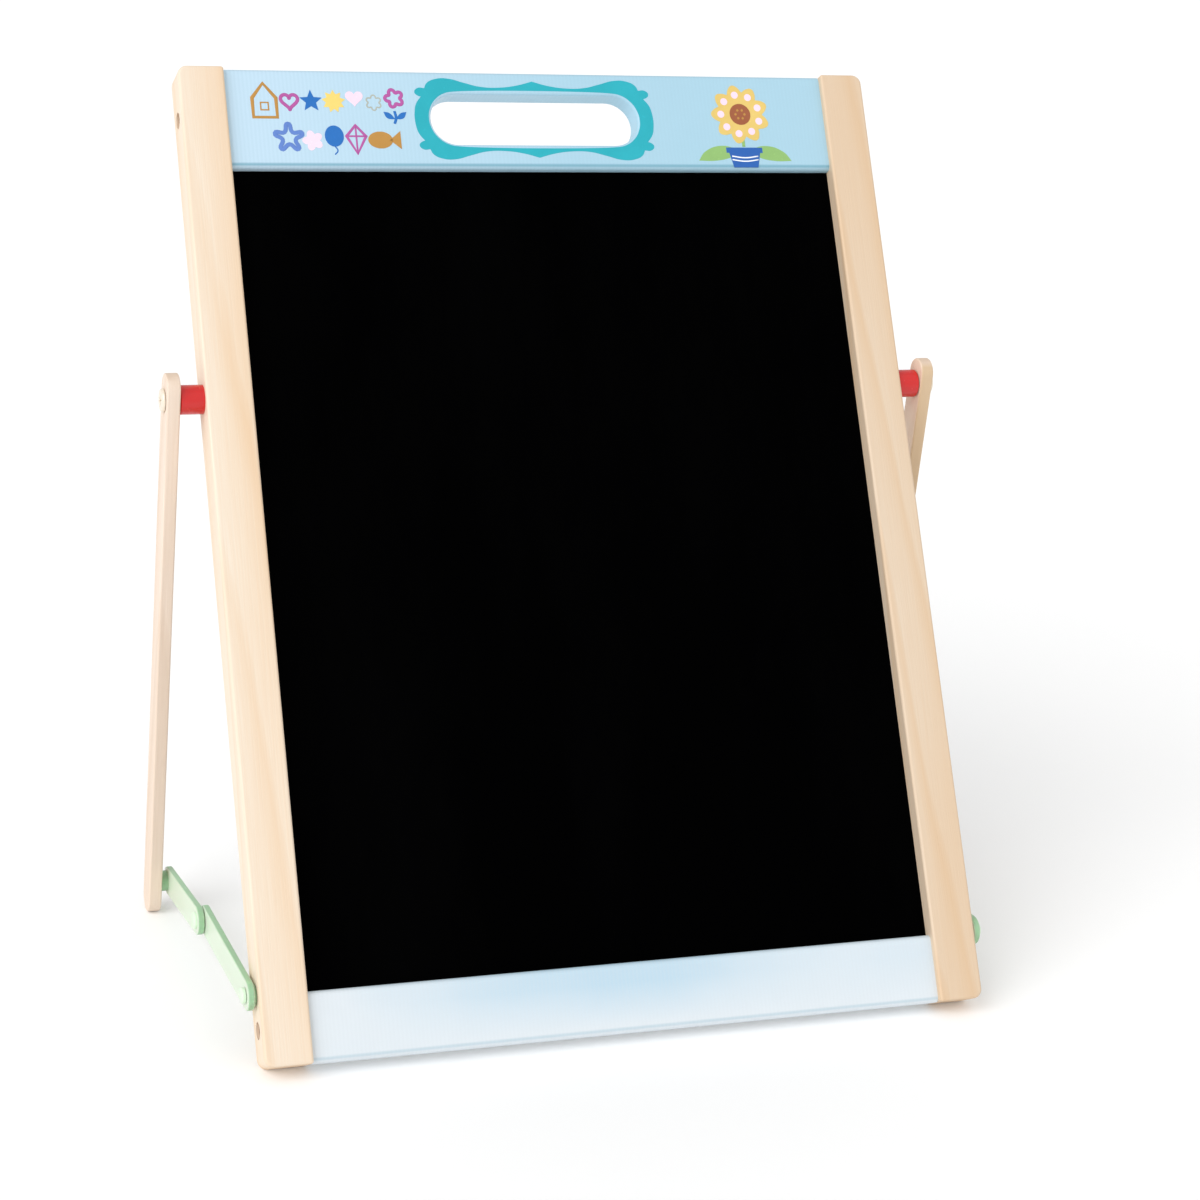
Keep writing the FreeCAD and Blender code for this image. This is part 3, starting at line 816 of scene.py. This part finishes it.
class EASEL_OT_flower(bpy.types.Operator):
    """Prints a potted flower at the right end of the top rail"""
    bl_idname = "easel.flower"
    bl_label = "Potted flower"

    def execute(self, context):
        look = context.scene.easel_print
        x = look.flower_at / mm
        thick = look.ink
        high = 31.5
        petal_reach = 16.8
        dot_ring, dot_size = 11.2, 2.0
        heart_size = 6.0
        seed_ring, seed_size, seed_count = 2.6, 0.7, 6
        leaves = [stroke([(x, 13.0, 0.9), (x, 20.0, 0.9)], 2.0, thick)]
        for side in (-1.0, 1.0):
            leaf = [
                (x + side * 2.0, 10.5, True), (x + side * 12.0, 13.5, False), (x + side * 23.0, 10.0, False),
                (x + side * 27.0, 5.0, True), (x + side * 17.0, 5.0, False), (x + side * 8.0, 7.0, False),
            ]
            leaves.append(filled([leaf if side > 0 else leaf[::-1]], thick))
        finish_print("flower_leaves", leaves, ink("leaf", palette["leaf"]))
        petals = filled([petal_ring(x, high, petal_reach, look.petals, 0.24)], 2.0 * thick)
        finish_print("flower_petals", [petals], ink("gold", palette["gold"]))
        dots = []
        for step in range(look.petals):
            angle = 2.0 * math.pi * (step + 0.5) / look.petals
            place = (x + dot_ring * math.cos(angle), high + dot_ring * math.sin(angle))
            dots.append(filled([ring(*place, dot_size, dot_size)], 3.0 * thick))
        finish_print("flower_dots", dots, ink("blush", palette["pink"]))
        middle = filled([ring(x, high, heart_size, heart_size)], 3.0 * thick)
        finish_print("flower_heart", [middle], ink("brown", palette["brown"]))
        seeds = []
        for step in range(seed_count):
            angle = 2.0 * math.pi * step / seed_count
            place = (x + seed_ring * math.cos(angle), high + seed_ring * math.sin(angle))
            seeds.append(filled([ring(*place, seed_size, seed_size)], 4.0 * thick))
        finish_print("flower_seeds", seeds, ink("seed", palette["gold_brown"]))
        pot = [
            (x - 10.5, 12.5, True), (x + 10.5, 12.5, True), (x + 10.5, 9.5, True), (x + 9.0, 9.5, True),
            (x + 7.0, 1.2, True), (x - 7.0, 1.2, True), (x - 9.0, 9.5, True), (x - 10.5, 9.5, True),
        ]
        finish_print("flower_pot", [filled([pot], 2.0 * thick)], ink("navy", palette["navy"]))
        stripes = [
            stroke([(x - 7.6, y, 1.0), (x, y - 0.9, 1.0), (x + 7.6, y, 1.0)], 0.9, 1.6 * thick)
            for y in (7.6, 5.6)
        ]
        finish_print("flower_pot_stripes", stripes, ink("white", palette["white"]))
        return {"FINISHED"}


class EASEL_OT_stage(bpy.types.Operator):
    """Lays the pale floor, hangs the soft lights and places the camera"""
    bl_idname = "easel.stage"
    bl_label = "Studio stage"

    def execute(self, context):
        scene = context.scene
        floor_reach = 9.0
        daylight, backdrop = 0.70, 1.0
        focal_length = 87.4
        camera_place = (-0.4816, -1.3553, 0.6776)
        heading, height_angle, rolled = -20.09, 18.71, 3.96
        floor_mesh = bpy.data.meshes.new("studio_floor")
        sheet = bmesh.new()
        bmesh.ops.create_grid(sheet, x_segments=1, y_segments=1, size=floor_reach)
        sheet.to_mesh(floor_mesh)
        sheet.free()
        floor = bpy.data.objects.new("studio_floor", floor_mesh)
        scene.collection.objects.link(floor)
        paper, _, shader = start_material("floor_paper")
        shader.inputs["Base Color"].default_value = (0.98, 0.98, 0.98, 1.0)
        shader.inputs["Emission Color"].default_value = (1.0, 1.0, 1.0, 1.0)
        shader.inputs["Emission Strength"].default_value = 0.05
        shader.inputs["Roughness"].default_value = 0.75
        floor_mesh.materials.append(paper)
        world = bpy.data.worlds.new("studio")
        world.use_nodes = True
        background = world.node_tree.nodes["Background"]
        background.inputs["Color"].default_value = (1.0, 1.0, 1.0, 1.0)
        background.inputs["Strength"].default_value = daylight
        sky = world.node_tree
        # The camera sees the backdrop at its own strength; all else is lit by the daylight.
        seen = put(sky, "ShaderNodeBackground", Color=(1.0, 1.0, 1.0, 1.0), Strength=backdrop)
        choice = sky.nodes.new("ShaderNodeMixShader")
        sky.links.new(sky.nodes.new("ShaderNodeLightPath").outputs["Is Camera Ray"], choice.inputs[0])
        sky.links.new(background.outputs[0], choice.inputs[1])
        sky.links.new(seen.outputs[0], choice.inputs[2])
        sky.links.new(choice.outputs[0], sky.nodes["World Output"].inputs["Surface"])
        scene.world = world
        for name, way, strength, softness in (
            ("key", (-0.80, -0.45, 0.62), 1.65, 50.0),
            ("fill", (0.70, -0.60, 0.45), 0.35, 90.0),
        ):
            light = bpy.data.lights.new(name, "SUN")
            light.energy = strength
            light.angle = math.radians(softness)
            lamp = bpy.data.objects.new(name, light)
            lamp.location = Vector(way) * 3.0
            lamp.rotation_euler = (-Vector(way)).to_track_quat("-Z", "Y").to_euler()
            scene.collection.objects.link(lamp)
        lens = bpy.data.cameras.new("easel_camera")
        lens.lens = focal_length
        lens.sensor_width = 36.0
        lens.clip_end = 30.0
        camera = bpy.data.objects.new("easel_camera", lens)
        turn = Euler((0.0, 0.0, math.radians(heading))).to_matrix()
        tilt = Euler((math.radians(90.0 - height_angle), 0.0, 0.0)).to_matrix()
        roll = Euler((0.0, 0.0, math.radians(rolled))).to_matrix()
        camera.rotation_euler = (turn @ tilt @ roll).to_euler()
        camera.location = camera_place
        scene.collection.objects.link(camera)
        scene.camera = camera
        scene.view_settings.view_transform = "Standard"
        return {"FINISHED"}


class EASEL_PT_panel(bpy.types.Panel):
    """Lists the easel's steps and settings"""
    bl_label = "Easel"
    bl_idname = "EASEL_PT_panel"
    bl_space_type = "VIEW_3D"
    bl_region_type = "UI"
    bl_category = "Easel"

    def draw(self, context):
        for step in steps:
            self.layout.operator(step.bl_idname)
        for name in settings:
            box = self.layout.box()
            for entry in getattr(context.scene, name).bl_rna.properties:
                if entry.identifier not in ("rna_type", "name"):
                    box.prop(getattr(context.scene, name), entry.identifier)


settings = {
    "easel_wood": EaselWood,
    "easel_paint": EaselPaint,
    "easel_hardware": EaselHardware,
    "easel_print": EaselPrint,
}
steps = (
    EASEL_OT_stage,
    EASEL_OT_pine,
    EASEL_OT_rails,
    EASEL_OT_boards,
    EASEL_OT_hardware,
    EASEL_OT_braces,
    EASEL_OT_scroll_frame,
    EASEL_OT_doodles,
    EASEL_OT_flower,
)


def register():
    for kind in (*settings.values(), *steps, EASEL_PT_panel):
        bpy.utils.register_class(kind)
    for name, kind in settings.items():
        setattr(bpy.types.Scene, name, PointerProperty(type=kind))


def unregister():
    for name in settings:
        delattr(bpy.types.Scene, name)
    for kind in reversed((*settings.values(), *steps, EASEL_PT_panel)):
        bpy.utils.unregister_class(kind)


def main():
    register()
    for step in steps:
        family, name = step.bl_idname.split(".")
        getattr(getattr(bpy.ops, family), name)()


if __name__ == "__main__":
    main()
